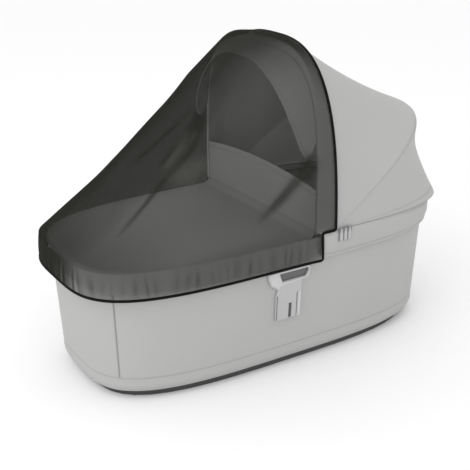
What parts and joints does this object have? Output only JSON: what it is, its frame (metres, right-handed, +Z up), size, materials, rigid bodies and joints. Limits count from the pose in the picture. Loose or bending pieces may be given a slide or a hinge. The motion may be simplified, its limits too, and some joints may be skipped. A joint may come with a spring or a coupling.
{
  "type": "mosquito net on a stroller carrycot",
  "caption": "Sheer dark mosquito net with a gathered elastic skirt, stretched from the hood to the foot end of a stroller carrycot",
  "frame": {"origin": "On the floor under the middle of the object's box", "axes": "+X runs along the carrycot from its foot end to its head end, +Y runs across it, +Z is up"},
  "size_m": [0.8079, 0.4028, 0.6055],
  "materials": {
    "net_mesh": "sheer fine mesh, about 1 mm holes",
    "net_elastic": "matte woven elastic",
    "carrycot_cloth": "smooth light grey weave",
    "carrycot_plastic": "satin light grey",
    "base_plastic": "matte dark grey"
  },
  "bodies": {
    "root": {"net_panel": "net_mesh", "net_skirt": "net_mesh", "net_binding": "net_elastic", "basket": "carrycot_cloth", "apron": "carrycot_cloth", "hood": "carrycot_cloth", "visor": "carrycot_cloth", "hood_cuff": "carrycot_cloth", "base_plate": "base_plastic", "hinge_near": "carrycot_plastic", "hinge_far": "carrycot_plastic", "adapter_near": "carrycot_plastic", "adapter_far": "carrycot_plastic"}
  },
  "joints": []
}
